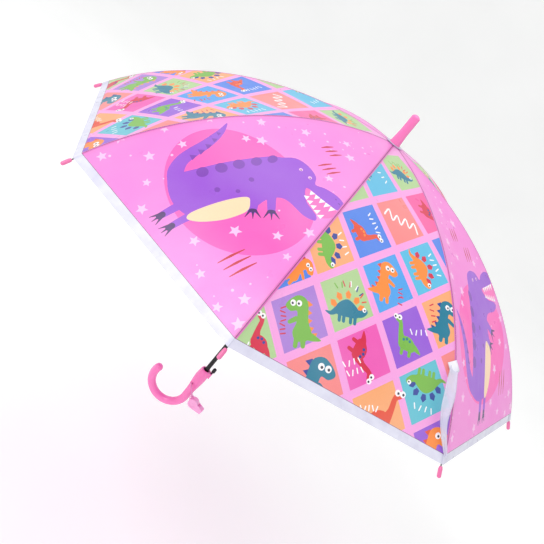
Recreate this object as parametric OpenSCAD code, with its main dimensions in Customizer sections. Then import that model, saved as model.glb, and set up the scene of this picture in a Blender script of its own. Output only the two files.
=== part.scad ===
// Children's stick umbrella with eight ribs, a film canopy, a crook handle and a whistle on a cord.
// The shaft runs along +Z, with the ferrule up. The origin is on the shaft axis at the handle's mouth.
// Rib 1 points to -X, and the others follow every 45 degrees, with rib 3 pointing to -Y.

/* [Canopy] */
// Radius from the shaft axis to a hem corner
canopy_r = 420; // [380:5:460]
// Drop from the crown to the hem corners
canopy_drop = 210.5; // [180:0.5:240]
// Total bend of a rib from crown to hem
rib_turn = 48.85; // [40:0.05:60]
// Total bend of a panel along its middle
panel_turn = 51.03; // [42:0.01:62]
// Thickness of the film
film_t = 0.3; // [0.2:0.1:1.2]
// Width of the plain hem outside the printed film
hem_w = 12; // [6:0.5:20]

/* [Shaft] */
// Height of the crown above the handle's mouth
crown_z = 506; // [450:1:560]
// Outer radius of the shaft tube
shaft_r = 4; // [3.5:0.1:5]
// Bore radius of the shaft tube
shaft_bore_r = 3.1; // [2.5:0.1:4]
// Depth of the shaft in the handle
shaft_depth = 42; // [30:1:50]

/* [Ferrule] */
// Height of the ferrule's tip above the crown
ferrule_h = 54.5; // [40:0.5:70]
// Radius of the ferrule at its base
ferrule_base_r = 8.4; // [7:0.1:10]
// Radius of the ferrule near its tip
ferrule_tip_r = 7; // [5:0.1:8]

/* [Ribs] */
// Width of the rib channel
rib_w = 3.4; // [2.6:0.1:4.5]
// Depth of the rib channel
rib_d = 2.8; // [2:0.1:4]
// Sheet thickness of the channel
rib_t = 0.7; // [0.5:0.1:1]
// Distance along the rib from its crown pivot to the stretcher pivot
stretcher_at = 205; // [180:1:230]
// Distance along the rib from its crown pivot to its flexible middle
flex_at = 240; // [210:1:270]
// Height of the ear that holds the stretcher, from the middle of the channel
ear_h = 8.6; // [6:0.1:10]
// Length of a stretcher between its pivots
stretcher_len = 252; // [230:1:270]
// Radius of the pink tips
tip_r = 2.8; // [2.5:0.1:4.5]
// Length of the pink tips
tip_len = 15; // [12:0.5:22]

/* [Runner] */
// Bore radius of the runner
runner_bore_r = 4.08; // [4.02:0.01:4.2]
// Outer radius of the runner's tube
runner_r = 5.8; // [5.2:0.1:7]
// Radius of the stretcher pivots around the runner
runner_pivot_r = 8.5; // [7.5:0.1:10]

/* [Handle] */
// Radius of the grip below its swelling
grip_r = 7.5; // [6:0.1:9]
// Radius of the crook's centreline
crook_r = 35; // [28:0.5:42]
// Distance from the mouth down to the start of the crook
crook_z = 68; // [60:1:80]
// Angle that the crook turns through
crook_turn = 197; // [180:1:210]

/* [Whistle] */
// Radius of the whistle's drum
whistle_r = 8.75; // [7:0.25:11]
// Thickness of the whistle
whistle_w = 13; // [10:0.5:16]
// Thickness of each strand of the cord
cord_d = 1.8; // [1.2:0.1:2.4]

/* [Node] */

/* [Hidden] */
$fn = 72;

film_c = [0.98, 0.62, 0.93];
pink_c = [1.00, 0.45, 0.76];
steel_c = [0.16, 0.14, 0.17];
black_c = [0.10, 0.09, 0.11];
clear_c = [0.93, 0.92, 0.97];

// A curve of constant bend from (x0, 0) to (x1, -h) that turns through k.
function arc_r(x0, x1, h, k) = norm([x1 - x0, h]) / (2 * sin(k / 2));
function arc_start(x0, x1, h, k) = atan2(h, x1 - x0) - k / 2;
function arc_c(x0, x1, h, k) = [x0 - arc_r(x0, x1, h, k) * sin(arc_start(x0, x1, h, k)),
  -arc_r(x0, x1, h, k) * cos(arc_start(x0, x1, h, k))];

panel_x = canopy_r * cos(22.5);
panel_r = arc_r(7.8, panel_x, canopy_drop, panel_turn);
panel_c = arc_c(7.8, panel_x, canopy_drop, panel_turn);
rib_r = arc_r(8.4, canopy_r, canopy_drop, rib_turn) - 3.2;
rib_c = arc_c(8.4, canopy_r, canopy_drop, rib_turn);

// A point on the rib's circle, at angle t from the vertical and radius r, in the rib's plane.
function on_rib(t, r = rib_r) = [rib_c[0] + r * sin(t), rib_c[1] + r * cos(t)];

crown_pivot = [8, -4];
t_pivot = atan2(crown_pivot[0] - rib_c[0], crown_pivot[1] - rib_c[1]);
t_stretcher = t_pivot + stretcher_at / rib_r * 180 / PI;
t_flex = t_pivot + flex_at / rib_r * 180 / PI;
t_end = 51.2;
stretcher_pivot = on_rib(t_stretcher, rib_r - ear_h);
rib_end = on_rib(t_end);
runner_open = stretcher_pivot[1]
  - sqrt(pow(stretcher_len, 2) - pow(stretcher_pivot[0] - runner_pivot_r, 2));
runner_z = crown_z + runner_open;
stretcher_dir = atan2(runner_open - stretcher_pivot[1], runner_pivot_r - stretcher_pivot[0]);

function rib_az(i) = 180 + 45 * i;

// Places a child drawn in a rib's plane, with X outwards and Y up from the crown.
module in_rib_plane(i) {
  translate([0, 0, crown_z]) rotate([0, 0, rib_az(i)]) rotate([90, 0, 0]) children();
}

// The part of a ring of radius r about the rib's centre between two angles from the vertical.
module rib_sweep(a, b) {
  translate([rib_c[0], rib_c[1], 0]) rotate_extrude(angle = b - a, start = 90 - b, $fn = 360)
    children();
}

// The channel's section: a shallow U that opens towards the shaft.
module channel_section() {
  translate([rib_r, 0]) difference() {
    translate([-rib_d / 2, -rib_w / 2]) square([rib_d, rib_w]);
    translate([-rib_d / 2 - 1, -rib_w / 2 + rib_t]) square([rib_d + 1 - rib_t, rib_w - 2 * rib_t]);
  }
}

module rib_inner(i) {
  color(steel_c) in_rib_plane(i) {
    difference() {
      union() {
        rib_sweep(t_pivot + 0.45, t_flex - 0.02) channel_section();
        // Flat eye on the crown wire.
        translate([crown_pivot[0], crown_pivot[1], -0.8]) cylinder(r = 1.5, h = 1.6);
        translate([crown_pivot[0], crown_pivot[1], -0.8]) rotate([0, 0, -3])
          translate([0, -1.1, 0]) cube([8, 3.1, 1.6]);
        // Ear for the stretcher's fork.
        translate([stretcher_pivot[0], stretcher_pivot[1], -0.7]) cylinder(r = 2, h = 1.4);
        translate([stretcher_pivot[0], stretcher_pivot[1], -0.7]) rotate([0, 0, 90 - t_stretcher])
          translate([0, -2, 0]) cube([ear_h + 1, 4, 1.4]);
        translate([stretcher_pivot[0], stretcher_pivot[1], -2.6]) cylinder(r = 0.8, h = 5.2);
      }
      translate([crown_pivot[0], crown_pivot[1], -2]) cylinder(r = 0.75, h = 4, $fn = 32);
    }
  }
}

module rib_outer(i) {
  color(steel_c) in_rib_plane(i) {
    rib_sweep(t_flex + 0.02, t_end) channel_section();
    // Round wire end that carries the tip.
    translate([rib_end[0], rib_end[1], 0]) rotate([0, 0, -t_end]) rotate([0, 90, 0]) {
      translate([0, 0, -6]) cylinder(r = 0.8, h = 28.5, $fn = 32);
      translate([0, 0, -6]) cylinder(r = 1.25, h = 6, $fn = 32);
    }
  }
}

module rib_tip(i) {
  color(pink_c) in_rib_plane(i) translate([rib_end[0], rib_end[1], 0]) rotate([0, 0, -t_end])
    rotate([0, 90, 0]) translate([0, 0, 17.5]) difference() {
      union() {
        cylinder(r1 = tip_r * 0.72, r2 = tip_r, h = 3.4, $fn = 48);
        translate([0, 0, 3.4]) cylinder(r = tip_r, h = tip_len - 3.4 - tip_r, $fn = 48);
        translate([0, 0, tip_len - tip_r]) sphere(r = tip_r, $fn = 48);
      }
      translate([0, 0, -1]) cylinder(r = 0.8, h = 7, $fn = 32);
    }
}

module stretcher(i) {
  p = stretcher_pivot;
  color(steel_c) in_rib_plane(i) translate([p[0], p[1], 0]) rotate([0, 0, stretcher_dir]) {
    // Fork with its two cheeks around the ear.
    for (s = [-1, 1]) {
      difference() {
        union() {
          translate([0, 0, s * 1.4 - 0.5]) cylinder(r = 2, h = 1);
          translate([0, -1.4, s * 1.4 - 0.5]) cube([12, 2.8, 1]);
        }
        translate([0, 0, -4]) cylinder(r = 0.86, h = 8, $fn = 32);
      }
    }
    translate([8.5, -1.4, -1.9]) cube([4, 2.8, 3.8]);
    // Round rod to the flat eye in the runner.
    translate([10, 0, 0]) rotate([0, 90, 0]) cylinder(r = 1, h = stretcher_len - 20, $fn = 32);
    translate([stretcher_len - 11, -1.2, -0.9]) cube([11, 2.4, 1.8]);
    translate([stretcher_len, 0, -0.9]) cylinder(r = 1.2, h = 1.8, $fn = 32);
  }
}

// Part of panel i, which spans from rib i to the next, between two angles from the vertical.
module panel_part(i, a, b) {
  intersection() {
    translate([0, 0, crown_z]) rotate([0, 0, rib_az(i) + 22.5]) rotate([90, 0, 0])
      translate([panel_c[0], panel_c[1], -200]) linear_extrude(400) intersection() {
        difference() {
          circle(r = panel_r, $fn = 360);
          circle(r = panel_r - film_t, $fn = 360);
        }
        polygon([[0, 0], [600 * sin(a), 600 * cos(a)], [600 * sin(b), 600 * cos(b)]]);
      }
    // The panel stops just short of the rib at each side.
    rotate([0, 0, rib_az(i)]) translate([0, 0, 100]) linear_extrude(500)
      polygon([[0, 0], [600 * cos(0.05), 600 * sin(0.05)], [600 * cos(44.95), 600 * sin(44.95)]]);
  }
}

panel_a0 = arc_start(7.8, panel_x, canopy_drop, panel_turn);
panel_a1 = asin((on_rib(t_flex, rib_r + 3)[0] * cos(22.5) - panel_c[0]) / panel_r);
panel_a2 = panel_a0 + panel_turn + hem_w / panel_r * 180 / PI;
module canopy_upper(i) { color(film_c, 0.9) panel_part(i, panel_a0, panel_a1 - 0.01); }
module canopy_lower(i) { color(film_c, 0.9) panel_part(i, panel_a1 + 0.01, panel_a2); }

module shaft() {
  color(black_c) difference() {
    translate([0, 0, -shaft_depth]) cylinder(r = shaft_r, h = shaft_depth + crown_z + 34);
    translate([0, 0, 2]) cylinder(r = shaft_bore_r, h = crown_z + 40);
    // Slot through both sides for the runner's pin.
    translate([-6, -1.2, runner_z - 282]) cube([12, 2.4, 282]);
  }
}

module ferrule() {
  z0 = crown_z + 1.2;
  top = crown_z + ferrule_h;
  color(pink_c) difference() {
    union() {
      translate([0, 0, z0]) cylinder(r = ferrule_base_r + 0.8, h = 1.6);
      translate([0, 0, z0 + 1.6]) cylinder(r1 = ferrule_base_r, r2 = ferrule_tip_r, h = 20);
      translate([0, 0, z0 + 21.6]) cylinder(r = ferrule_tip_r, h = top - z0 - 21.6 - 4);
      // Domed end from a flattened profile.
      translate([0, 0, top - 4]) rotate_extrude() intersection() {
        translate([0, 4 - (49 + 16) / 8 ]) circle(r = (49 + 16) / 8, $fn = 180);
        square([ferrule_tip_r, 4]);
      }
    }
    translate([0, 0, z0 - 1]) cylinder(r = shaft_r, h = crown_z + 34 - z0 + 1);
  }
}

// Thin washer that clamps the film under the ferrule.
module crown_washer() {
  color(clear_c) translate([0, 0, crown_z + 0.4]) difference() {
    cylinder(r = 14, h = 0.8);
    translate([0, 0, -1]) cylinder(r = shaft_r, h = 3);
  }
}

// Slotted ring with the wire that the ribs' eyes turn on.
module crown_notch() {
  z = crown_z + crown_pivot[1];
  color(black_c) {
    difference() {
      union() {
        translate([0, 0, z - 2.4]) cylinder(r = 9.8, h = 5);
        translate([0, 0, z - 13]) cylinder(r = 6, h = 12);
      }
      translate([0, 0, z - 20]) cylinder(r = shaft_r, h = 40);
      for (i = [0:7]) rotate([0, 0, rib_az(i)]) translate([6.1, -1.2, z - 10]) cube([10, 2.4, 20]);
    }
    translate([0, 0, z]) rotate_extrude() translate([8, 0]) circle(r = 0.6, $fn = 32);
  }
}

module runner() {
  color(black_c) {
    difference() {
      union() {
        translate([0, 0, runner_z - 6]) cylinder(r = 10.6, h = 10);
        translate([0, 0, runner_z - 40]) cylinder(r = runner_r, h = 52);
        translate([0, 0, runner_z - 24]) cylinder(r1 = runner_r, r2 = 8, h = 8);
        translate([0, 0, runner_z - 16]) cylinder(r = 8, h = 4);
      }
      translate([0, 0, runner_z - 50]) cylinder(r = runner_bore_r, h = 100);
      // Slots for the stretchers, open outwards and downwards.
      for (i = [0:7]) rotate([0, 0, rib_az(i)]) translate([6.4, -1.35, runner_z - 12])
        cube([10, 2.7, 30]);
    }
    // Cross pin that runs in the shaft's slot and rests on the spring.
    translate([-runner_r + 0.8, 0, runner_z - 34]) rotate([0, 90, 0])
      cylinder(r = 1, h = 2 * runner_r - 1.6, $fn = 32);
  }
}

// A tube of n sides swept through the points, with closed ends.
function unit(v) = v / norm(v);
function tangent(p, i) = unit(p[min(i + 1, len(p) - 1)] - p[max(i - 1, 0)]);
function side_of(t, up) = unit(cross(t, up));
module swept_tube(p, r, n, up) {
  rings = [for (i = [0:len(p) - 1]) let (t = tangent(p, i), u = side_of(t, up), v = cross(u, t))
    for (k = [0:n - 1]) p[i] + r * (cos(360 * k / n) * u + sin(360 * k / n) * v)];
  m = len(p);
  walls = [for (i = [0:m - 2]) for (k = [0:n - 1]) for (h = [0:1]) h == 0
    ? [i * n + k, i * n + (k + 1) % n, (i + 1) * n + (k + 1) % n]
    : [i * n + k, (i + 1) * n + (k + 1) % n, (i + 1) * n + k]];
  polyhedron(rings, concat([[for (k = [n - 1:-1:0]) k]], walls,
    [[for (k = [0:n - 1]) (m - 1) * n + k]]), convexity = 8);
}

spring_turns = 32;
spring_r = 2.4;
spring_z0 = 3;
spring_z1 = runner_z - 35.6;
module opening_spring() {
  color(steel_c) swept_tube([for (k = [0:spring_turns * 10])
    [spring_r * cos(36 * k), spring_r * sin(36 * k),
     spring_z0 + (spring_z1 - spring_z0) * k / (spring_turns * 10)]], 0.42, 6, [0, 0, 1]);
}

// Outline of the grip above the crook: a swollen top, a waist and a mouth.
grip_outline = [[0, -crook_z], [grip_r, -crook_z], [grip_r, -56], [8, -46], [9.2, -36], [10.3, -26],
  [10.7, -18], [10.4, -11], [9.6, -4], [8.9, -0.8], [8.2, 0], [0, 0]];
// The same outline with its bends rounded by the curve below.
grip_curve = concat([grip_outline[0], grip_outline[1]],
  [for (i = [2:8]) for (s = [0:2]) bend(grip_outline, i, s / 3)],
  [grip_outline[9], grip_outline[10], grip_outline[11]]);
module handle() {
  color(pink_c) difference() {
    union() {
      rotate_extrude() polygon(grip_curve);
      // Crook towards -X with a rounded end.
      translate([-crook_r, 0, -crook_z]) rotate([90, 0, 0]) {
        rotate_extrude(angle = crook_turn, start = 360 - crook_turn, $fn = 144)
          translate([crook_r, 0]) circle(r = grip_r, $fn = 72);
        rotate([0, 0, -crook_turn]) translate([crook_r, 0, 0]) rotate([90, 0, 0]) {
          rotate_extrude() intersection() {
            circle(r = grip_r, $fn = 72);
            square([grip_r + 1, grip_r + 1]);
          }
          translate([0, 0, -2]) cylinder(r = grip_r - 1, h = 5);
        }
      }
      // Two cheeks that hold the button.
      translate([4, -4.6, -10]) cube([9, 9.2, 9.8]);
    }
    // Mouth that takes the runner's end, then the shaft's socket.
    translate([0, 0, -14]) cylinder(r = 6.4, h = 20);
    translate([0, 0, -shaft_depth]) cylinder(r = shaft_r, h = 60);
    // Slot for the button's leg, and the hole for its pin.
    translate([7.4, -1.8, -8]) cube([10, 3.6, 20]);
    translate([10.6, -6, -5]) rotate([-90, 0, 0]) cylinder(r = 0.8, h = 12, $fn = 32);
    // Round hole where the whistle's cord goes in and turns.
    translate([-5.6, -4.5, -35.5]) rotate([90, 0, 0]) cylinder(r = 2.9, h = 10, $fn = 48);
  }
}

module release_button() {
  color(black_c) difference() {
    union() {
      translate([10.6, 1.5, -5]) rotate([90, 0, 0]) cylinder(r = 2, h = 3);
      translate([9.4, -1.5, -5]) cube([2.4, 3, 9]);
      // Barrel-shaped knob.
      translate([11.4, 0, 2]) {
        translate([0, 0, 3.3]) sphere(r = 3.3);
        translate([0, 0, 3.3]) cylinder(r = 3.3, h = 4.4);
        translate([0, 0, 7.7]) sphere(r = 3.3);
      }
    }
    translate([10.6, -6, -5]) rotate([-90, 0, 0]) cylinder(r = 0.86, h = 12, $fn = 32);
  }
}

module button_pin() {
  color(steel_c) translate([10.6, -4.6, -5]) rotate([-90, 0, 0]) cylinder(r = 0.8, h = 9.2, $fn = 32);
}

// The whistle hangs on its cord, turned about Y as it is held.
hang = -39.7;
whistle_at = [19, -17, -58];
module whistle_frame() { translate(whistle_at) rotate([0, hang, 0]) children(); }

module whistle() {
  w = whistle_w;
  color(pink_c) whistle_frame() {
    difference() {
      union() {
        translate([0, w / 2, 0]) rotate([90, 0, 0]) cylinder(r = whistle_r, h = w);
        // Tapered mouthpiece that leaves the drum towards the lower right.
        rotate([90, 0, 0]) translate([0, 0, -w / 2]) linear_extrude(w)
          polygon([[-5.6, -6.7], [8.6, -1], [17.2, -13.6], [11.4, -18.6]]);
      }
      translate([0, w / 2 - 1.4, 0]) rotate([90, 0, 0]) cylinder(r = whistle_r - 1.5, h = w - 2.8);
      // Recessed faces.
      for (s = [0, 1]) mirror([0, s, 0]) translate([0, w / 2 + 1, 0]) rotate([90, 0, 0])
        cylinder(r = whistle_r - 2.6, h = 1.6);
      // Sound slot and the air channel.
      translate([6, -4, -4.6]) rotate([0, 25, 0]) cube([7, 8, 3.4]);
      rotate([0, 53, 0]) translate([5, -4, -1.2]) cube([24, 8, 2.4]);
    }
    // Moulded bail at the top.
    bail = [[-6.5, 4], [-5.6, 11.2], [0.6, 13], [4.2, 6]];
    for (k = [0:2]) let (a = bail[k], b = bail[k + 1]) translate([a[0], 0, a[1]])
      rotate([0, atan2(b[0] - a[0], b[1] - a[1]), 0]) cylinder(r = 0.95, h = norm(b - a), $fn = 32);
    for (k = [1:2]) translate([bail[k][0], 0, bail[k][1]]) sphere(r = 0.95, $fn = 32);
  }
}

// Route of the cord: out of the handle's slot, round the bail and back.
cord_route = [[-5.6, -5.4, -34], [-5.6, -9, -34.2], [-4.6, -11.6, -35.6], [-1.4, -13, -38.6], [3, -14.4, -42.6],
  [7, -15, -46.8], [9.4, -15.2, -49.6], [10.9, -16.2, -51], [10.9, -17.8, -51], [9.4, -18.8, -49.6],
  [6.6, -18.4, -45.8], [3, -17.2, -41.6], [-1.2, -15.4, -37.4], [-4, -13.4, -35], [-5.6, -11.4, -34.4], [-5.6, -9, -37],
  [-5.6, -5.4, -37]];
// Smooth curve through the route's points.
function bend(p, i, s) = let (a = p[max(i - 1, 0)], b = p[i], c = p[i + 1], d = p[min(i + 2, len(p) - 1)])
  0.5 * (2 * b + (c - a) * s + (2 * a - 5 * b + 4 * c - d) * s * s + (3 * b - a - 3 * c + d) * s * s * s);
cord_points = [for (i = [0:len(cord_route) - 2]) for (s = [0:3]) bend(cord_route, i, s / 4),
  cord_route[len(cord_route) - 1]];
module whistle_cord() {
  color(pink_c) swept_tube(cord_points, cord_d / 2, 8, [0.62, 0.1, 0.78]);
}

// Strap that hangs over the film beside rib 4, from its patch down to the hem.
module strap_outline(from, to, w) {
  polygon([[from, 3], [from + 22, 1], [to - 34, -4], [to, 0], [to, -5], [to - 40, -w],
    [from + 42, -w - 5], [from + 16, -w], [from - 5, -w * 0.55]]);
}
module strap_shell(lift, t) {
  a = rib_az(3) - 22.5;
  intersection() {
    translate([0, 0, crown_z]) rotate([0, 0, a]) rotate([90, 0, 0]) translate([0, 0, -200])
      linear_extrude(400) translate(panel_c) difference() {
        circle(r = panel_r + lift + t, $fn = 360);
        circle(r = panel_r + lift, $fn = 360);
      }
    translate([0, 0, 200]) rotate([0, 0, rib_az(3)]) linear_extrude(400) children();
  }
}

module closing_strap() {
  color(clear_c, 0.8) {
    strap_shell(1.4, 0.6) strap_outline(292, 412, 17);
    // White patch at its root.
    strap_shell(1.8, 0.6) polygon([[285, -9.5], [299, 4], [311, -5], [297, -18]]);
  }
}

shaft();
ferrule();
crown_washer();
crown_notch();
rib_inner(0);  // rib_inner_1
rib_inner(1);  // rib_inner_2
rib_inner(2);  // rib_inner_3
rib_inner(3);  // rib_inner_4
rib_inner(4);  // rib_inner_5
rib_inner(5);  // rib_inner_6
rib_inner(6);  // rib_inner_7
rib_inner(7);  // rib_inner_8
rib_outer(0);  // rib_outer_1
rib_outer(1);  // rib_outer_2
rib_outer(2);  // rib_outer_3
rib_outer(3);  // rib_outer_4
rib_outer(4);  // rib_outer_5
rib_outer(5);  // rib_outer_6
rib_outer(6);  // rib_outer_7
rib_outer(7);  // rib_outer_8
rib_tip(0);  // rib_tip_1
rib_tip(1);  // rib_tip_2
rib_tip(2);  // rib_tip_3
rib_tip(3);  // rib_tip_4
rib_tip(4);  // rib_tip_5
rib_tip(5);  // rib_tip_6
rib_tip(6);  // rib_tip_7
rib_tip(7);  // rib_tip_8
stretcher(0);  // stretcher_1
stretcher(1);  // stretcher_2
stretcher(2);  // stretcher_3
stretcher(3);  // stretcher_4
stretcher(4);  // stretcher_5
stretcher(5);  // stretcher_6
stretcher(6);  // stretcher_7
stretcher(7);  // stretcher_8
canopy_upper(0);  // canopy_upper_1
canopy_upper(1);  // canopy_upper_2
canopy_upper(2);  // canopy_upper_3
canopy_upper(3);  // canopy_upper_4
canopy_upper(4);  // canopy_upper_5
canopy_upper(5);  // canopy_upper_6
canopy_upper(6);  // canopy_upper_7
canopy_upper(7);  // canopy_upper_8
canopy_lower(0);  // canopy_lower_1
canopy_lower(1);  // canopy_lower_2
canopy_lower(2);  // canopy_lower_3
canopy_lower(3);  // canopy_lower_4
canopy_lower(4);  // canopy_lower_5
canopy_lower(5);  // canopy_lower_6
canopy_lower(6);  // canopy_lower_7
canopy_lower(7);  // canopy_lower_8
runner();
opening_spring();
handle();
release_button();
button_pin();
whistle();
whistle_cord();
closing_strap();
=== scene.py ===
"""Children's umbrella: looks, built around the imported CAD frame. Metres, row frame."""
import bpy, math
import numpy as np
from mathutils import Matrix, Vector
from mathutils.geometry import delaunay_2d_cdt


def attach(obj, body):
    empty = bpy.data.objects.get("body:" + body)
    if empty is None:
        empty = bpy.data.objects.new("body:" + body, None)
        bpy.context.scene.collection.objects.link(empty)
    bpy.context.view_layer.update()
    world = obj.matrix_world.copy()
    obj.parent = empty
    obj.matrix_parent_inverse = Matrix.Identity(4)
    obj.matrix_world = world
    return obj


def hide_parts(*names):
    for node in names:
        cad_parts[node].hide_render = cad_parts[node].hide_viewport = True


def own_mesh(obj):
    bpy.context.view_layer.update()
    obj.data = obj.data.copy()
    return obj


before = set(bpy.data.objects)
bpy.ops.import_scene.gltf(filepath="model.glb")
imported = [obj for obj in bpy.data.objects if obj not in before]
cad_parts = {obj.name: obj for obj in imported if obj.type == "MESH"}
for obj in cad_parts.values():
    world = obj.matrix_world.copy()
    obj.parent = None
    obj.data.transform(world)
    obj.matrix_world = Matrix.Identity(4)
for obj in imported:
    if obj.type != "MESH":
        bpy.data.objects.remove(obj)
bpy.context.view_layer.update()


# ------------------------------------------------------------------ camera
def place_camera():
    """The photograph's viewpoint: from the front, above the handle, rolled so the shaft leans."""
    cam = bpy.data.objects.new("camera", bpy.data.cameras.new("camera"))
    bpy.context.scene.collection.objects.link(cam)
    right = Vector((0.76964, 0.24239, 0.59068))
    up = Vector((-0.63836, 0.27476, 0.71903))
    back = right.cross(up)
    m = Matrix((right, up, back)).transposed().to_4x4()
    m.translation = Vector((-0.0047, -1.1969, 0.6906))
    cam.matrix_world = m
    cam.data.lens, cam.data.sensor_width = 51.72, 36
    cam.data.clip_start, cam.data.clip_end = 0.05, 30
    bpy.context.scene.camera = cam


place_camera()


# --------------------------------------------------------------- materials
def linear(hexa):
    """A colour written as RRGGBB, as linear light."""
    c = [int(hexa[i:i + 2], 16) / 255 for i in (0, 2, 4)]
    return tuple(x / 12.92 if x <= 0.04045 else ((x + 0.055) / 1.055) ** 2.4 for x in c)


class Nodes:
    """A material's node tree, with short names for the nodes used here."""

    def __init__(self, name):
        self.mat = bpy.data.materials.new(name)
        self.mat.use_nodes = True
        self.t = self.mat.node_tree
        self.t.nodes.clear()
        self.out = self.t.nodes.new("ShaderNodeOutputMaterial")

    def new(self, kind, **sockets):
        n = self.t.nodes.new("ShaderNode" + kind)
        for k, v in sockets.items():
            self.put(n.inputs[k.replace("_", " ")], v)
        return n

    def put(self, socket, v):
        if isinstance(v, bpy.types.NodeSocket):
            self.t.links.new(v, socket)
        else:
            socket.default_value = v

    def noise(self, vector, scale, detail=3.0, rough=0.5):
        return self.new("TexNoise", Vector=vector, Scale=scale, Detail=detail,
                        Roughness=rough).outputs["Fac"]

    def place(self, stretch=(1, 1, 1), which="Object"):
        c = self.t.nodes.new("ShaderNodeTexCoord").outputs[which]
        return self.new("Mapping", Vector=c, Scale=stretch).outputs["Vector"]

    def ramp(self, value, lo, hi, a=0.0, b=1.0):
        n = self.t.nodes.new("ShaderNodeMapRange")
        for i, v in enumerate((value, lo, hi, a, b)):
            self.put(n.inputs[i], v)
        return n.outputs[0]

    def mix(self, fac, a, b, kind="MIX"):
        n = self.t.nodes.new("ShaderNodeMix")
        n.data_type, n.blend_type, n.clamp_factor = "RGBA", kind, True
        self.put(n.inputs[0], fac)
        for i, v in ((6, a), (7, b)):
            self.put(n.inputs[i], (*v, 1) if isinstance(v, tuple) and len(v) == 3 else v)
        return n.outputs[2]

    def math(self, kind, a, b=0.0):
        n = self.t.nodes.new("ShaderNodeMath")
        n.operation = kind
        self.put(n.inputs[0], a), self.put(n.inputs[1], b)
        return n.outputs[0]

    def bump(self, height, strength, distance, normal=None):
        n = self.new("Bump", Height=height, Strength=strength, Distance=distance)
        if normal is not None:
            self.put(n.inputs["Normal"], normal)
        return n.outputs["Normal"]

    def finish(self, **sockets):
        b = self.new("BsdfPrincipled", **sockets)
        self.t.links.new(b.outputs[0], self.out.inputs[0])
        return self.mat


def film_material():
    """Printed film: the print, with a painted shadow of each rib along the panel edges, is in the mesh's
    colours, under a smooth wavy gloss.
    """
    n = Nodes("printed_film")
    # The mesh's colours hold the print and the painted rib shadows along the panel edges.
    ink = n.t.nodes.new("ShaderNodeVertexColor")
    ink.layer_name = "print"
    p = n.place()
    cloud = n.noise(p, 9.0, 2.0)
    grain = n.noise(p, 900.0, 2.0)
    c = n.mix(n.ramp(cloud, 0.3, 0.7, 0.0, 0.07), ink.outputs["Color"], (1.0, 1.0, 1.0))
    c = n.mix(n.ramp(grain, 0.35, 0.65, 0.0, 0.05), c, linear("B070B8"), "MULTIPLY")
    waves = n.noise(n.place((1, 1, 0.45)), 26.0, 2.0, 0.45)
    creases = n.noise(n.place((1, 1, 0.3)), 75.0, 3.0, 0.55)
    nor = n.bump(waves, 0.22, 0.004)
    nor = n.bump(creases, 0.14, 0.0012, nor)
    rough = n.ramp(n.noise(p, 40.0, 3.0), 0.3, 0.7, 0.27, 0.4)
    body = n.new("BsdfPrincipled", Base_Color=c, Roughness=rough, Normal=nor)
    body.inputs["Coat Weight"].default_value = 0.25
    body.inputs["Coat Roughness"].default_value = 0.2
    back = n.new("BsdfTranslucent", Color=c, Normal=nor)
    m = n.new("MixShader", Fac=0.24)
    n.t.links.new(body.outputs[0], m.inputs[1])
    n.t.links.new(back.outputs[0], m.inputs[2])
    n.t.links.new(m.outputs[0], n.out.inputs[0])
    return n.mat


def clear_material(name, tint, alpha, lo, hi, stretch=(1, 1, 1)):
    """Milky see-through film."""
    n = Nodes(name)
    p = n.place(stretch)
    haze = n.noise(p, 60.0, 3.0)
    c = n.mix(n.ramp(haze, 0.25, 0.75), linear(tint), (0.74, 0.74, 0.88))
    nor = n.bump(n.noise(p, 90.0, 2.0), 0.18, 0.0012)
    return n.finish(Base_Color=c, Roughness=n.ramp(n.noise(p, 45.0, 2.0), 0.3, 0.7, lo, hi),
                    Normal=nor, Alpha=alpha)


def plastic_material(name, colour, dark, lo, hi, coat=0.0, speck=1800.0):
    """Moulded plastic with faint flow marks and a fine skin."""
    n = Nodes(name)
    p = n.place()
    flow = n.noise(n.place((1, 1, 0.35)), 55.0, 3.0)
    c = n.mix(n.ramp(flow, 0.3, 0.75), linear(colour), linear(dark))
    skin = n.noise(p, speck, 2.0)
    nor = n.bump(skin, 0.06, 0.0001)
    nor = n.bump(n.noise(p, 70.0, 2.0), 0.1, 0.0006, nor)
    rough = n.ramp(n.noise(p, 150.0, 4.0), 0.3, 0.7, lo, hi)
    m = n.finish(Base_Color=c, Roughness=rough, Normal=nor)
    b = next(x for x in n.t.nodes if x.type == "BSDF_PRINCIPLED")
    b.inputs["Coat Weight"].default_value = coat
    b.inputs["Coat Roughness"].default_value = 0.08
    return m


def metal_material(name, colour, dark, lo, hi, metallic, stretch):
    """Painted or drawn metal, with fine marks along its length."""
    n = Nodes(name)
    fine = n.noise(n.place(stretch), 700.0, 3.0)
    broad = n.noise(n.place(), 60.0, 3.0)
    c = n.mix(n.ramp(broad, 0.35, 0.7), linear(colour), linear(dark))
    rough = n.ramp(n.math("ADD", fine, n.math("MULTIPLY", broad, 0.5)), 0.5, 1.0, lo, hi)
    nor = n.bump(fine, 0.1, 0.00015)
    m = n.finish(Base_Color=c, Roughness=rough, Normal=nor)
    b = next(x for x in n.t.nodes if x.type == "BSDF_PRINCIPLED")
    b.inputs["Metallic"].default_value = metallic
    return m


def cord_material():
    """Woven band: slanted threads."""
    n = Nodes("pink_cord")
    w = n.t.nodes.new("ShaderNodeTexWave")
    w.wave_type, w.bands_direction = "BANDS", "DIAGONAL"
    n.put(w.inputs["Vector"], n.place())
    w.inputs["Scale"].default_value = 420.0
    w.inputs["Distortion"].default_value = 1.2
    c = n.mix(n.ramp(w.outputs["Fac"], 0.1, 0.9), linear("F78CCB"), linear("FFB4E4"))
    nor = n.bump(w.outputs["Fac"], 0.8, 0.0004)
    return n.finish(Base_Color=c, Roughness=n.ramp(w.outputs["Fac"], 0.0, 1.0, 0.8, 0.6), Normal=nor)


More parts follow.
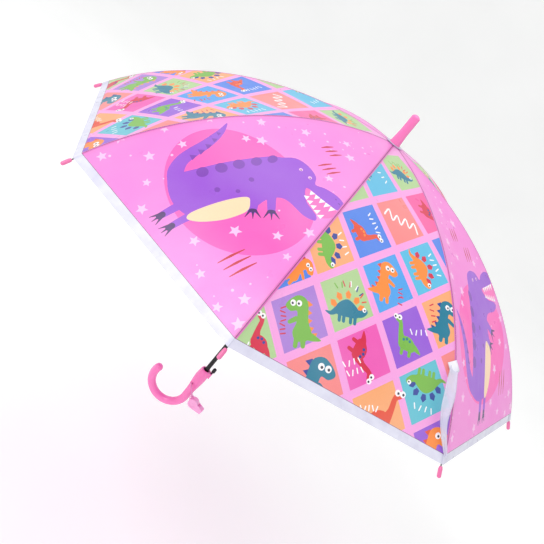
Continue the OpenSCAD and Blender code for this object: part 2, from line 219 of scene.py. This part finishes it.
FILM = film_material()
CLEAR = clear_material("milky_hem", "CCCAE2", 0.86, 0.25, 0.42)
STRAP = clear_material("milky_strap", "E8E6FA", 0.62, 0.2, 0.4)
WHITE = clear_material("white_patch", "FBFAFF", 0.97, 0.3, 0.5)
PINK = plastic_material("pink_plastic", "FF86C8", "FC70BA", 0.16, 0.28, 0.5)
PALE = plastic_material("pale_pink_plastic", "FFB6E4", "FDA4DA", 0.22, 0.36, 0.3)
TIP = plastic_material("pink_tip", "F57FB4", "E2659F", 0.25, 0.4, 0.15)
BLACK = plastic_material("black_plastic", "16161A", "0C0C10", 0.3, 0.48)
TUBE = metal_material("black_tube", "0B0B0D", "141318", 0.16, 0.32, 0.2, (1, 1, 0.02))
STEEL = metal_material("black_steel", "2A2228", "1C171B", 0.3, 0.5, 0.6, (1, 1, 0.3))
WIRE = metal_material("steel_wire", "9A9AA2", "6E6E76", 0.2, 0.4, 1.0, (1, 1, 1))
CORD = cord_material()


def coat_nodes():
    plan = {"shaft": TUBE, "ferrule": PINK, "crown_washer": CLEAR, "crown_notch": BLACK,
            "runner": BLACK, "opening_spring": WIRE, "handle": PINK, "release_button": BLACK,
            "button_pin": WIRE, "whistle": PALE, "whistle_cord": CORD, "closing_strap": STRAP}
    for name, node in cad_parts.items():
        mat = plan.get(name) or (TIP if name.startswith("rib_tip") else
                                 FILM if name.startswith("canopy") else STEEL)
        node.data.materials.clear()
        node.data.materials.append(mat)


coat_nodes()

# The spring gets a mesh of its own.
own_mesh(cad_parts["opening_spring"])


# ------------------------------------------------------- whistle's cord
def spline(a, b, c, d, s):
    """Point at share s between b and c of the smooth curve through four points."""
    return 0.5 * (2 * b + (c - a) * s + (2 * a - 5 * b + 4 * c - d) * s * s
                  + (3 * b - a - 3 * c + d) * s ** 3)


def smooth_route(p, steps=4):
    """The same curve through the points as in the CAD source."""
    p = [np.array(x, float) for x in p]
    out = []
    for i in range(len(p) - 1):
        a, b, c, d = p[max(i - 1, 0)], p[i], p[i + 1], p[min(i + 2, len(p) - 1)]
        for k in range(steps):
            out.append(spline(a, b, c, d, k / steps))
    return np.array(out + [p[-1]])


CORD_ROUTE = [(-5.6, -5.4, -34), (-5.6, -9, -34.2), (-4.6, -11.6, -35.6), (-1.4, -13, -38.6),
              (3, -14.4, -42.6), (7, -15, -46.8), (9.4, -15.2, -49.6), (10.9, -16.2, -51),
              (10.9, -17.8, -51), (9.4, -18.8, -49.6), (6.6, -18.4, -45.8), (3, -17.2, -41.6),
              (-1.2, -15.4, -37.4), (-4, -13.4, -35), (-5.6, -11.4, -34.4), (-5.6, -9, -37),
              (-5.6, -5.4, -37)]


def make_cord():
    """The whistle's cord: a loop from the hole in the grip round the whistle's bail."""
    pts = smooth_route(CORD_ROUTE) / 1000
    r, sides = 0.0009, 12
    verts, faces = [], []
    # A twisted three-strand section, so the threads show in the outline.
    for i, p in enumerate(pts):
        t = pts[min(i + 1, len(pts) - 1)] - pts[max(i - 1, 0)]
        t /= np.linalg.norm(t)
        u = np.cross(t, (0.62, 0.1, 0.78))
        u /= np.linalg.norm(u)
        w = np.cross(u, t)
        for k in range(sides):
            a = 2 * math.pi * k / sides
            q = r * (0.93 + 0.07 * math.cos(3 * a + i * 1.1))
            verts.append(p + q * (math.cos(a) * u + math.sin(a) * w))
    n = len(pts)
    for i in range(n - 1):
        for k in range(sides):
            j = (k + 1) % sides
            faces.append((i * sides + k, i * sides + j, (i + 1) * sides + j, (i + 1) * sides + k))
    faces += [tuple(range(sides - 1, -1, -1)), tuple((n - 1) * sides + k for k in range(sides))]
    o = mesh_object("cord_band", verts, faces, [CORD])
    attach(o, "whistle")
    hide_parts("whistle_cord")


def mesh_object(name, verts, faces, mats, smooth=True):
    me = bpy.data.meshes.new(name)
    me.from_pydata([tuple(map(float, v)) for v in verts], [], [tuple(map(int, f)) for f in faces])
    me.validate()
    for m in mats:
        me.materials.append(m)
    if smooth:
        me.shade_smooth()
    o = bpy.data.objects.new(name, me)
    bpy.context.scene.collection.objects.link(o)
    return o


make_cord()


# ------------------------------------------------------------ film's shape
# Millimetres. A panel's middle line is an arc of radius PANEL_R about (PANEL_M, CROWN + PANEL_Z),
# which starts at angle PANEL_T from straight up.
CROWN = 506.0
PANEL_R, PANEL_M, PANEL_Z, PANEL_T = 504.482, -22.598, -503.565, math.radians(3.4545)
HALF = math.tan(math.pi / 8)  # half a panel's width at one unit from the shaft
SPLIT = 224.04  # where the ribs flex, along the arc from the crown
PRINT_END, HEM_END = 449.3, 461.3
SAG = 3.0  # how far the film is pulled in between the ribs


def profile(v, lift=0.0):
    """Distance from the axis and height of a panel's middle line, v mm down from the crown."""
    t = PANEL_T + v / PANEL_R
    r = PANEL_R + lift
    return PANEL_M + r * np.sin(t), CROWN + PANEL_Z + r * np.cos(t)


def half_width(v):
    """Half the width of a panel v mm down from the crown."""
    return profile(v)[0] * HALF


def azimuth(p):
    """Direction of the middle of panel p, seen from above."""
    return math.radians(180 + 45 * p + 22.5)


def film_point(p, u, v, lift=0.0):
    """Point of panel p in mm; u is across, to the right seen from outside."""
    u, v = np.asarray(u, float), np.asarray(v, float)
    m, z = profile(v, lift)
    w = half_width(v)
    # The film is pulled inward between the ribs, and not at the crown and the hem.
    x = np.clip(np.abs(u) / np.maximum(w, 1), 0, 1)
    sag = SAG * (1 - x ** 2) * np.sin(np.pi * np.clip(v / HEM_END, 0, 1)) ** 0.8
    t = PANEL_T + v / PANEL_R
    m, z = m - sag * np.sin(t), z - sag * np.cos(t)
    a = azimuth(p)
    return np.stack([m * math.cos(a) - u * math.sin(a), m * math.sin(a) + u * math.cos(a), z], -1)


def film_normal(p, u, v):
    """Outward direction of the film, from its slopes."""
    e = 0.5
    du = film_point(p, u + e, v) - film_point(p, u - e, v)
    dv = film_point(p, u, np.asarray(v) + e) - film_point(p, u, np.asarray(v) - e)
    n = np.cross(dv, du)
    return n / np.linalg.norm(n, axis=-1, keepdims=True)


def pleat(o):
    """Give a film piece a mesh of its own."""
    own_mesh(o)


# ------------------------------------------------------------ print shapes
def closed_curve(points, steps=5):
    """Smooth closed outline through the points."""
    p = [np.array(x, float) for x in points]
    n, out = len(p), []
    for i in range(n):
        a, b, c, d = p[i - 1], p[i], p[(i + 1) % n], p[(i + 2) % n]
        for k in range(steps):
            out.append(spline(a, b, c, d, k / steps))
    return np.array(out)


def stroke(points, widths, steps=5):
    """Rounded limb along the points, with a width at each."""
    p = np.array(points, float)
    w = np.array(widths, float)
    if len(p) > 2:
        q, ws = [], []
        for i in range(len(p) - 1):
            a, b, c, d = p[max(i - 1, 0)], p[i], p[i + 1], p[min(i + 2, len(p) - 1)]
            for k in range(steps):
                s = k / steps
                q.append(spline(a, b, c, d, s))
                ws.append(w[i] + (w[i + 1] - w[i]) * s)
        p, w = np.array(q + [p[-1]]), np.array(ws + [w[-1]])
    t = np.gradient(p, axis=0)
    t /= np.maximum(np.linalg.norm(t, axis=1, keepdims=True), 1e-9)
    n = np.stack([-t[:, 1], t[:, 0]], 1)
    left, right = p + n * w[:, None] / 2, p - n * w[:, None] / 2
    cap = lambda c, d, m, r: [c + r / 2 * (d * math.sin(a) + m * math.cos(a))
                              for a in np.linspace(0, math.pi, 7)[1:-1]]
    return np.array([*left, *cap(p[-1], t[-1], n[-1], w[-1]), *right[::-1],
                     *cap(p[0], -t[0], -n[0], w[0])])


def ellipse(cu, cv, ru, rv=None, turn=0.0, n=20):
    """Outline of an ellipse, or of a circle when only one radius is given."""
    rv = ru if rv is None else rv
    a = np.linspace(0, 2 * math.pi, n, endpoint=False)
    x, y = ru * np.cos(a), rv * np.sin(a)
    c, s = math.cos(math.radians(turn)), math.sin(math.radians(turn))
    return np.stack([cu + c * x - s * y, cv + s * x + c * y], 1)


def star(cu, cv, r, turn):
    """Outline of a five-pointed star."""
    a = np.arange(10) * math.pi / 5 + math.radians(turn)
    k = np.where(np.arange(10) % 2 == 0, r, r * 0.45)
    return np.stack([cu + k * np.sin(a), cv - k * np.cos(a)], 1)


def moved(shapes, at, turn=0.0, size=1.0, flip=False):
    """Shapes drawn about the origin, placed on the panel."""
    c, s = math.cos(math.radians(turn)), math.sin(math.radians(turn))
    out = []
    for pts, col in shapes:
        q = np.array(pts, float) * size
        if flip:
            q = q * (-1, 1)
        u, v = at[0] + c * q[:, 0] - s * q[:, 1], at[1] + s * q[:, 0] + c * q[:, 1]
        out.append((np.stack([u, v], 1), col))
    return out


COLOURS = {
    "pink": "F888DC", "hot": "FF5CBE", "star": "FFC6F0", "purple": "9A4BD6",
    "plum": "7C2EB4", "claw": "46166A", "cream": "FFDFB4", "red": "C81E34", "white": "FFFFFF",
    # line: a thin dark print line where the print meets the hem, and along the rib edges a painted shadow of
    # the rib.
    "seam": "EC70C8", "line": "7C3468", "lattice": "F8A6E4", "gum": "FF6CC0",
    "green": "76BC3C", "teal": "047C98", "orange": "FF8E2C", "rust": "E84A28", "navy": "1A3C9A",
    "crimson": "D81C44", "ink": "20223A",
    "t_sage": "B2D694", "t_blue": "4C86E8", "t_pink": "F85CA4", "t_salmon": "F88A88",
    "t_sky": "4CA6EE", "t_light": "58C0E4", "t_peach": "FBAE74", "t_purple": "9658D8",
    "t_hot": "F05CB8", "t_teal": "5CC4D4", "t_lilac": "AC80D8"}


def eye(cu, cv, r, look=(0.2, 0.1)):
    """A round cartoon eye: white with a dark dot."""
    return [(ellipse(cu, cv, r, n=14), "white"),
            (ellipse(cu + look[0] * r, cv + look[1] * r, r * 0.42, n=10), "ink")]


def spikes(path, height, width, side=1.0, shape="tri"):
    """Plates or spikes standing along a path."""
    p = np.array(path, float)
    out = []
    for i in range(len(p)):
        t = p[min(i + 1, len(p) - 1)] - p[max(i - 1, 0)]
        t /= np.linalg.norm(t)
        n = np.array([t[1], -t[0]]) * side
        b, w = p[i], width / 2
        if shape == "tri":
            out.append(np.array([b - t * w, b + n * height, b + t * w, b - n * w]))
        else:
            out.append(np.array([b - t * w * 0.6, b - t * w + n * height * 0.55, b + n * height,
                                 b + t * w + n * height * 0.55, b + t * w * 0.6]))
    return out


def marks(cu, cv, width, count, colour, size=5.0, turn=0.0):
    """A short row of plain dashes, where the real print has words."""
    out = []
    for i in range(count):
        x = (i - (count - 1) / 2) * width / max(count - 1, 1)
        y = 0.7 * math.sin(i * 1.9)
        lean = 1.2 * math.cos(i * 2.3)
        ends = [(x - lean, y - size / 2), (x + lean, y + size / 2)]
        out.append((stroke(ends, [1.7, 1.7]), colour))
    return moved(out, (cu, cv), turn)


def zigzag(cu, cv, width, height, colour, turn=0.0):
    """A plain wavy scribble, every third turn of it shorter."""
    pts = [(-width / 2 + width * i / 8, height / 2 * (-1) ** i * (1 - 0.35 * (i % 3 == 0)))
           for i in range(9)]
    return moved([(stroke(pts, [2.6] * 9, 4), colour)], (cu, cv), turn)


def big_dinosaur():
    """A plain standing dinosaur, with its belly to the right, round plates and a freckled flank."""
    s = []
    tail = [(-34, 380), (-60, 375), (-73, 358), (-77, 338), (-79, 316), (-83, 297), (-88, 282), (-95, 269)]
    s.append((stroke(tail, [34, 22, 17.5, 16, 14.5, 12, 8, 1.6]), "purple"))
    for x, y, r in ((-86, 289, 3.4), (-80, 300, 4.2), (-75.5, 313, 4.8), (-73, 326, 5.2),
                    (-71.5, 340, 5.2)):
        thorn = [(x + r * 0.3, y - r), (x + r * 0.9, y + r * 0.9), (x - r * 0.9, y + r * 0.5)]
        s.append((np.array(thorn), "plum"))
    s.append((stroke([(-19, 385), (-21, 410), (-22, 424)], [13, 10.5, 9]), "purple"))
    s.append((stroke([(2, 380), (-1, 408), (-2, 424)], [13, 10, 8.6]), "purple"))
    for x in (-22, -2):
        s.append((stroke([(x, 421), (x, 425.5)], [8.6, 8.6]), "claw"))
        for k in (-1, 0, 1):
            toe = [(x + 2.6 * k, 424), (x + 6.6 * k, 435.5 + (k == 0))]
            s.append((stroke(toe, [3.8, 0.8]), "claw"))
    body = [(-14, 240), (-4, 222), (14, 216), (34, 220), (45, 231), (56, 224), (74, 219), (90, 222),
            (96, 232), (88, 240), (66, 242), (44, 246), (62, 262), (84, 266), (92, 274), (78, 281),
            (52, 282), (40, 288), (34, 304), (36, 330), (30, 356), (18, 380), (2, 396), (-22, 402),
            (-46, 396), (-64, 382), (-58, 364), (-51, 342), (-43, 314), (-31, 278), (-21, 250)]
    s.append((closed_curve(body, 4), "purple"))
    for pts in ([(18, 284), (36, 298), (52, 311)], [(10, 302), (26, 317), (38, 329)]):
        s.append((stroke(pts, [19, 12, 9.6]), "purple"))
        x, y = pts[-1]
        a = math.radians(-52)
        s.append((ellipse(x, y, 5.4, 3.0, -52), "claw"))
        for k in (-1, 0, 1):
            b = a + math.radians(32 * k)
            x0, y0 = x - 3.2 * k * math.cos(a), y - 3.2 * k * math.sin(a)
            end = (x0 + 12.5 * math.sin(-b), y0 + 12.5 * math.cos(b))
            s.append((stroke([(x0, y0), end], [3.8, 0.8]), "claw"))
    s.append((closed_curve([(19, 321), (26, 324), (34, 333), (34, 347), (28, 368), (15, 390), (2, 401),
                            (-3, 394), (0, 374), (6, 350), (13, 330)], 4), "cream"))
    for x, y, h in ((-21, 253, 14), (-28, 275, 16), (-36, 298, 18), (-43, 321, 19), (-50, 345, 18)):
        s.append((ellipse(x + h * 0.3, y, 8.2, h * 0.42, 76), "plum"))
    # An open mouth with two rows of small teeth.
    s.append((closed_curve([(46, 246), (64, 243), (94, 239), (99, 252), (90, 266), (66, 262), (52, 254)],
                           3), "gum"))
    for i in range(5):
        x = 54 + 8.4 * i
        top = [(x - 3.6, 244.2 - i * 1.1), (x + 4.0, 243 - i * 1.1), (x + 1.2, 250.4 - i * 0.4)]
        low = [(x - 1.6, 258 + i * 1.9), (x + 5.6, 260 + i * 1.6), (x + 3.4, 252.6 + i * 1.2)]
        s += [(np.array(top), "white"), (np.array(low), "white")]
    s += [(ellipse(-2, 300, 3.6), "plum"), (ellipse(4, 326, 3.0), "plum"),
          (ellipse(-12, 346, 3.8), "plum"), (ellipse(15, 230, 2.6), "star"), (ellipse(32, 229, 2.6), "star"),
          (ellipse(15.6, 230.4, 1.2, n=10), "claw"), (ellipse(32.6, 229.4, 1.2, n=10), "claw"),
          (ellipse(86, 227, 2.0, 1.2), "plum"), (ellipse(78, 225, 1.6, 1.0), "plum")]
    return s


def scratches(cu, cv, width, height):
    """Three red claw marks, in place of a word."""
    out = []
    for k in (-1, 0, 1):
        x = k * width * 0.32
        line = [(x + 2.0, -height / 2), (x - 0.6, 0), (x - 2.4, height / 2)]
        out.append((stroke(line, [1.2, 3.4, 1.0], 4), "red"))
    return moved(out, (cu, cv))


def dino_print():
    """The plain pink panels: a disc, stars, fine dots, the big dinosaur and three sets of scratches."""
    s = [(ellipse(2, 322, 105, 87, n=72), "hot")]
    stars = ((-22, 195), (-78, 223), (-50, 245), (-62, 262), (103, 293), (-112, 285), (85, 328),
             (50, 365), (-95, 340), (-103, 385), (-72, 410), (32, 412), (-150, 400), (72, 432),
             (130, 412), (115, 338), (-4, 120), (22, 140), (44, 205), (-40, 172), (-128, 345),
             (-140, 432), (150, 436), (118, 442), (-44, 436))
    for i, (x, y) in enumerate(stars):
        s.append((star(x, y, 6.2 + 2.6 * ((i * 7) % 5) / 4, 17 * i % 72), "star"))
    for i in range(46):
        y = 70 + 375 * ((i * 0.618) % 1)
        x = (2 * ((i * 0.754877) % 1) - 1) * (half_width(y) - 9)
        s.append((ellipse(x, y, 1.0 + 0.9 * (i % 3) / 2, n=8), "star"))
    s += big_dinosaur()
    return s + scratches(3, 160, 27, 20) + scratches(30, 191, 27, 22) + scratches(87, 390, 36, 36)


# Small creatures for the tiles, drawn about (0, 0) with their heads up and to the right.
def long_neck(col, spot):
    s = [(stroke([(-19, 11), (-11, 7), (-2, 6)], [1.6, 7, 12]), col),
         (closed_curve([(-12, 6), (-6, -1), (3, -2), (9, 3), (8, 11), (-2, 13), (-10, 12)], 4), col),
         (stroke([(5, 6), (9, -4), (11, -14), (15, -18)], [11, 6, 5, 7.4]), col),
         (stroke([(-6, 10), (-6, 17)], [4.4, 4]), col), (stroke([(4, 10), (4, 17)], [4.4, 4]), col)]
    s += [(ellipse(x, y, 1.7, n=8), spot) for x, y in ((-4, 2), (0, 0.4), (4, 2))]
    return s + eye(13, -19.5, 2.9) + eye(18.2, -19.2, 2.9)


def plated(col, plate):
    back = [(-13, 1), (-8, -6), (0, -9), (8, -6), (13, 0)]
    s = [(q, plate) for q in spikes(back, 8.5, 7, 1.0, "plate")]
    s += [(closed_curve([(-15, 6), (-10, -3), (0, -8), (10, -3), (15, 4), (10, 9), (-10, 9)], 4), col),
          (stroke([(-12, 5), (-18, 9), (-24, 8)], [7, 4, 1]), col),
          (stroke([(11, 4), (17, 3), (21, 0)], [8, 7, 6.4]), col)]
    s += [(stroke([(x, 7), (x, 14)], [4, 3.6]), col) for x in (-8, -3, 5, 10)]
    return s + eye(20, -1.5, 2.4)


def standing(col, spike):
    back = [(-9, -14), (-8, -6), (-8, 2), (-10, 10), (-14, 16)]
    s = [(q, spike) for q in spikes(back, 5.5, 6.5, -1.0)]
    s += [(closed_curve([(-9, -16), (0, -22), (10, -18), (15, -12), (10, -7), (3, -7), (4, 4), (8, 12),
                         (5, 20), (-6, 21), (-12, 13), (-9, 2)], 4), col),
          (stroke([(-7, 15), (-15, 18), (-22, 20)], [10, 6, 1]), col),
          (stroke([(4, 0), (11, 3)], [5, 4]), col),
          (stroke([(-3, 19), (-3, 25)], [6, 5]), col), (stroke([(4, 19), (5, 25)], [5, 4.6]), col)]
    return s + eye(0.4, -14.4, 3.0) + eye(7.0, -14.8, 3.0)


def tile_print():
    """Diamond tiles, each with a creature or plain marks; keys are the tile's two counts from the crown."""
    art = {  # ground, creature, turn, size, mirrored, offset
        (0, 0): ("t_sage", plated("teal", "orange"), -12, 1.0, False, (-1, 6)),
        (0, 1): ("t_light", plated("green", "teal"), 60, 0.7, False, (-18, 8)),
        (1, 0): ("t_pink", long_neck("crimson", "navy"), 75, 1.05, False, (2, 2)),
        (1, 1): ("t_salmon", None, 0, 1, False, (0, 0)),
        (1, 2): ("t_blue", long_neck("rust", "orange"), 38, 1.1, False, (-4, 5)),
        (2, 1): ("t_light", plated("orange", "crimson"), 52, 1.2, False, (-3, 3)),
        (2, 2): ("t_sky", standing("orange", "rust"), -8, 1.15, False, (-4, -2)),
        (1, 3): ("t_peach", plated("green", "navy"), 62, 1.2, False, (2, 2)),
        (3, 1): ("t_peach", standing("teal", "navy"), -6, 1.2, False, (0, 2)),
        (2, 3): ("t_sage", plated("teal", "orange"), -16, 1.25, False, (4, 9)),
        (3, 2): ("t_purple", long_neck("green", "teal"), -8, 1.2, True, (0, 3)),
        (3, 3): ("t_hot", long_neck("crimson", "navy"), 98, 1.25, False, (-2, -2)),
        (2, 4): ("t_lilac", standing("green", "orange"), -26, 1.25, True, (0, 0)),
        (4, 2): ("t_teal", plated("green", "navy"), 168, 1.25, False, (-2, -8)),
        (1, 4): ("t_blue", standing("orange", "crimson"), 30, 0.9, False, (26, 0)),
        (3, 4): ("t_salmon", standing("teal", "navy"), -4, 1.5, False, (2, 6)),
        (4, 3): ("t_peach", long_neck("rust", "rust"), -14, 1.45, False, (2, -2)),
        (2, 5): ("t_sage", long_neck("crimson", "navy"), 10, 1.1, True, (16, -10)),
        (5, 2): ("t_purple", standing("orange", "rust"), -6, 1.4, False, (-6, 8)),
        (0, 2): ("t_sage", None, 0, 1, False, (0, 0)), (2, 0): ("t_blue", None, 0, 1, False, (0, 0)),
        (4, 1): ("t_salmon", None, 0, 1, False, (0, 0))}
    notes = {(1, 2): [(8, -17, 26, 5, "white", 42)], (2, 1): [(16, -14, 30, 5, "white", 48)],
             (2, 2): [(22, 4, 11, 3, "crimson", 70), (24, 14, 9, 2, "crimson", 70)],
             (1, 3): [(20, -12, 26, 4, "white", 48)], (3, 1): [(-22, 4, 22, 4, "crimson", 65)],
             (2, 3): [(-17, -11, 9, 2, "green", -40), (-7, -18, 9, 2, "crimson", -25),
                      (3, -21, 9, 2, "white", 0), (13, -18, 8, 2, "navy", 20), (21, -12, 8, 2, "rust", 40)],
             (3, 2): [(14, -13, 24, 4, "white", -22)],
             (3, 3): [(-13, 14, 22, 4, "white", -38), (-4, 22, 20, 4, "white", -38)],
             (2, 4): [(-19, 12, 30, 7, "crimson", 66)], (4, 2): [(6, 20, 26, 4, "white", -8)],
             (4, 3): [(-16, 0, 22, 5, "white", -24)], (0, 1): [(10, -8, 24, 4, "white", 36)],
             (2, 5): [(14, 8, 22, 4, "white", 20)],
             (0, 0): [(-6, -12, 10, 3, "green", -30), (8, -12, 10, 3, "rust", 20)]}
    s = []
    for (i, j), (ground, creature, turn, size, flip, off) in art.items():
        cu, cv = 49.0 * (i - j), 77 + 52.5 * (i + j)
        h = 0.43  # a tile's half diagonal, as a share of the lattice's pitch
        corners = [(cu + 98 * h * a, cv + 105 * h * b) for a, b in ((0, -1), (1, 0), (0, 1), (-1, 0))]
        s.append((np.array(corners), ground))
        if creature:
            s += moved(creature, (cu + off[0], cv + off[1]), turn, size, flip)
        elif (i, j) == (1, 1):
            s += zigzag(cu + 2, cv, 58, 15, "white", -5)
        for a, b, w, k, col, lean in notes.get((i, j), ()):
            s += marks(cu + a, cv + b, w, k, col, 6.0, lean)
    return s


def counter_clockwise(q):
    """The same outline, turned round if it runs clockwise."""
    x, y = q[:, 0], q[:, 1]
    area = np.dot(x, np.roll(y, -1)) - np.dot(y, np.roll(x, -1))
    return q if area > 0 else q[::-1]


def film_half(p, upper, shapes, ground):
    """One half of a panel: its outline, its print, its seam bands with a painted rib shadow at their edge,
    and its rows, meshed together in the flat.
    """
    v0, v1 = (0.0, SPLIT) if upper else (SPLIT, HEM_END)
    rows = np.linspace(v0, v1, 20 if upper else 22)
    edge = 0.05
    wide = lambda v: half_width(v) - edge
    loops = []
    outline = np.array([(-wide(v), v) for v in rows] + [(wide(v), v) for v in rows[::-1]])
    loops.append((outline, ground))
    for q, col in shapes:
        if q[:, 1].max() > v0 and q[:, 1].min() < min(v1, PRINT_END):
            loops.append((q, col))
    full = np.linspace(max(v0, 1), min(v1, PRINT_END), 24)
    # Along each rib edge: a darker seam band, and at the very edge a thin dark line that is a painted shadow
    # of the rib under the film.
    for side in (-1, 1):
        for inner, col in ((2.4, "seam"), (0.5, "line")):
            loops.append((np.array([(side * (half_width(v) + 6), v) for v in full]
                                   + [(side * (half_width(v) - inner), v) for v in full[::-1]]), col))
    if not upper:
        for top, low, col in ((PRINT_END - 0.6, PRINT_END, "line"), (PRINT_END, HEM_END + 9, "hem")):
            loops.append((np.array([(-300, top), (300, top), (300, low), (-300, low)]), col))
    pts, faces, edges = [], [], []
    for q, _ in loops:
        q = counter_clockwise(q)
        faces.append(list(range(len(pts), len(pts) + len(q))))
        pts += [tuple(x) for x in q]
    for v in rows[1:-1]:
        n = max(2, int(round(2 * wide(v) / 16)))
        us = np.linspace(-wide(v), wide(v), n + 1)
        base = len(pts)
        pts += [(u, v) for u in us]
        edges += [(base + k, base + k + 1) for k in range(n)]
    co, _, tris, _, _, made_of = delaunay_2d_cdt([Vector(x) for x in pts], edges, faces, 1, 1e-4, True)
    co = np.array([tuple(c) for c in co])
    keep, colour = [], []
    for f, src in zip(tris, made_of):
        if 0 in src:
            keep.append(f)
            colour.append(loops[max(src)][1])
    used = sorted({k for f in keep for k in f})
    where = {k: i for i, k in enumerate(used)}
    co = co[used]
    tris = [[where[k] for k in f] for f in keep]
    return co, tris, colour


def make_panel(p):
    """Panel p's printed film, in the two halves that its bodies need."""
    kind_dino = p % 2 == 1
    shapes = PRINTS[kind_dino]
    for upper in (True, False):
        key = (kind_dino, upper)
        if key not in HALVES:
            HALVES[key] = film_half(p, upper, shapes, "pink" if kind_dino else "lattice")
        co, tris, colour = HALVES[key]
        u, v = co[:, 0], co[:, 1]
        xyz = film_point(p, u, v, -0.1) / 1000
        name = f"film_{'upper' if upper else 'lower'}_{p + 1}"
        me = bpy.data.meshes.new(name)
        tri = [f if flat_area(co, f) < 0 else f[::-1] for f in tris]
        me.from_pydata([tuple(x) for x in xyz], [], tri)
        for m in (FILM, CLEAR):
            me.materials.append(m)
        me.polygons.foreach_set("material_index", [int(c == "hem") for c in colour])
        layer = me.color_attributes.new("print", "FLOAT_COLOR", "CORNER")
        rgba = np.ones((len(me.loops), 4), np.float32)
        for k, c in enumerate(colour):
            rgba[3 * k:3 * k + 3, :3] = linear(COLOURS.get(c, "FFFFFF"))
        layer.data.foreach_set("color", rgba.ravel())
        me.shade_smooth()
        me.normals_split_custom_set_from_vertices([tuple(n) for n in film_normal(p, u, v)])
        o = bpy.data.objects.new(name, me)
        bpy.context.scene.collection.objects.link(o)
        pleat(o)
        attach(o, f"panel_{p + 1}" if upper else f"panel_end_{p + 1}")
        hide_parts(f"canopy_{'upper' if upper else 'lower'}_{p + 1}")


def flat_area(co, f):
    """Twice the signed area of a flat triangle."""
    a, b, c = co[f[0]], co[f[1]], co[f[2]]
    return (b[0] - a[0]) * (c[1] - a[1]) - (c[0] - a[0]) * (b[1] - a[1])


PRINTS = {True: dino_print(), False: tile_print()}
HALVES = {}
for panel in range(8):
    make_panel(panel)


# ------------------------------------------------------------ closing strap
def make_strap():
    """Milky ribbon that bulges off the film from its patch and is caught at the tip of rib 4."""
    # Across, down, height off the film, width.
    route = [(128, 345, 1.2, 13), (126, 356, 5, 15), (124, 372, 11, 17), (124, 388, 14, 17.5),
             (127, 402, 12, 16), (133, 416, 8.5, 12), (141, 428, 6, 9), (149, 438, 4, 6.5),
             (156, 446, 2.6, 5), (160, 451, 2.0, 4.4)]
    keys = np.array(route, float)
    s = np.linspace(0, len(keys) - 1, 56)
    k = np.stack([np.interp(s, range(len(keys)), keys[:, c]) for c in range(4)], 1)
    for _ in range(4):
        k[1:-1] = (k[:-2] + 2 * k[1:-1] + k[2:]) / 4
    t = np.gradient(k[:, :2], axis=0)
    t /= np.linalg.norm(t, axis=1, keepdims=True)
    n = np.stack([t[:, 1], -t[:, 0]], 1)
    across = 9
    verts, faces = [], []
    for i in range(len(k)):
        for j in range(across):
            x = j / (across - 1) * 2 - 1
            q = k[i, :2] + n[i] * x * k[i, 3] / 2
            # A lengthways fold that deepens where the ribbon gathers towards the tip.
            lift = k[i, 2] + 1.5 * x * x + 0.7 * math.sin(5 * x + i * 0.2) * (i / len(k))
            verts.append(film_point(2, q[0], q[1], lift) / 1000)
    for i in range(len(k) - 1):
        for j in range(across - 1):
            a = i * across + j
            faces.append((a, a + across, a + across + 1, a + 1))
    ribbon = mesh_object("strap_ribbon", verts, faces, [STRAP])
    pv, pf = [], []
    for i in range(9):
        for j in range(9):
            x, y = i / 4 - 1, j / 4 - 1
            q = np.array([126.5, 344]) + 7.5 * (x * np.array([0.8, -0.62]) + y * np.array([0.62, 0.8]))
            pv.append(film_point(2, q[0], q[1], 2.6 - 0.8 * (x * x + y * y) / 2) / 1000)
    for i in range(8):
        for j in range(8):
            a = i * 9 + j
            pf.append((a, a + 1, a + 10, a + 9))
    patch = mesh_object("strap_patch", pv, pf, [WHITE])
    for o in (ribbon, patch):
        m = o.modifiers.new("thick", "SOLIDIFY")
        m.thickness = 0.0004
        pleat(o)
        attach(o, "panel_end_3")
    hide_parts("closing_strap")


make_strap()


# ------------------------------------------------------------------- stage
def make_stage():
    """White paper that sweeps up behind the umbrella, and three soft lamps."""
    floor_z, bend_from, bend_r = -0.32, 3.2, 2.2
    fv, ff = [], []
    prof = [(-40.0, floor_z), (bend_from, floor_z)]
    for a in np.linspace(0, math.pi / 2, 24)[1:]:
        prof.append((bend_from + bend_r * math.sin(a), floor_z + bend_r * (1 - math.cos(a))))
    prof.append((bend_from + bend_r, 6.5))
    for y, z in prof:
        fv += [(-40, y, z), (40, y, z)]
    for i in range(len(prof) - 1):
        ff.append((2 * i, 2 * i + 1, 2 * i + 3, 2 * i + 2))
    n = Nodes("floor_paper")
    tone = n.mix(n.ramp(n.noise(n.place(), 3.0), 0.3, 0.7), (0.94, 0.94, 0.94), (0.97, 0.97, 0.97))
    n.finish(Base_Color=tone, Roughness=0.8)
    paper = next(x for x in n.t.nodes if x.type == "BSDF_PRINCIPLED")
    paper.inputs["Emission Color"].default_value = (0.97, 1.0, 0.98, 1)
    paper.inputs["Emission Strength"].default_value = 0.15
    floor = mesh_object("floor", fv, ff, [n.mat])
    world = bpy.data.worlds.new("studio")
    bpy.context.scene.world = world
    world.use_nodes = True
    world.node_tree.nodes["Background"].inputs[0].default_value = (1, 1, 1, 1)
    world.node_tree.nodes["Background"].inputs[1].default_value = 0.62
    for name, at, size, power in (("key", (-1.7, -2.0, 2.4), 1.5, 44), ("fill", (2.4, -1.6, 1.0), 2.2, 9),
                                  ("top", (-0.3, 0.5, 3.0), 2.6, 24)):
        lamp = bpy.data.lights.new(name, "AREA")
        lamp.energy, lamp.size = power, size
        o = bpy.data.objects.new(name, lamp)
        bpy.context.scene.collection.objects.link(o)
        o.location = at
        o.rotation_mode = "QUATERNION"
        o.rotation_quaternion = (Vector((0, 0, 0.35)) - Vector(at)).to_track_quat("-Z", "Y")
    bpy.context.scene.view_settings.view_transform = "Standard"


make_stage()
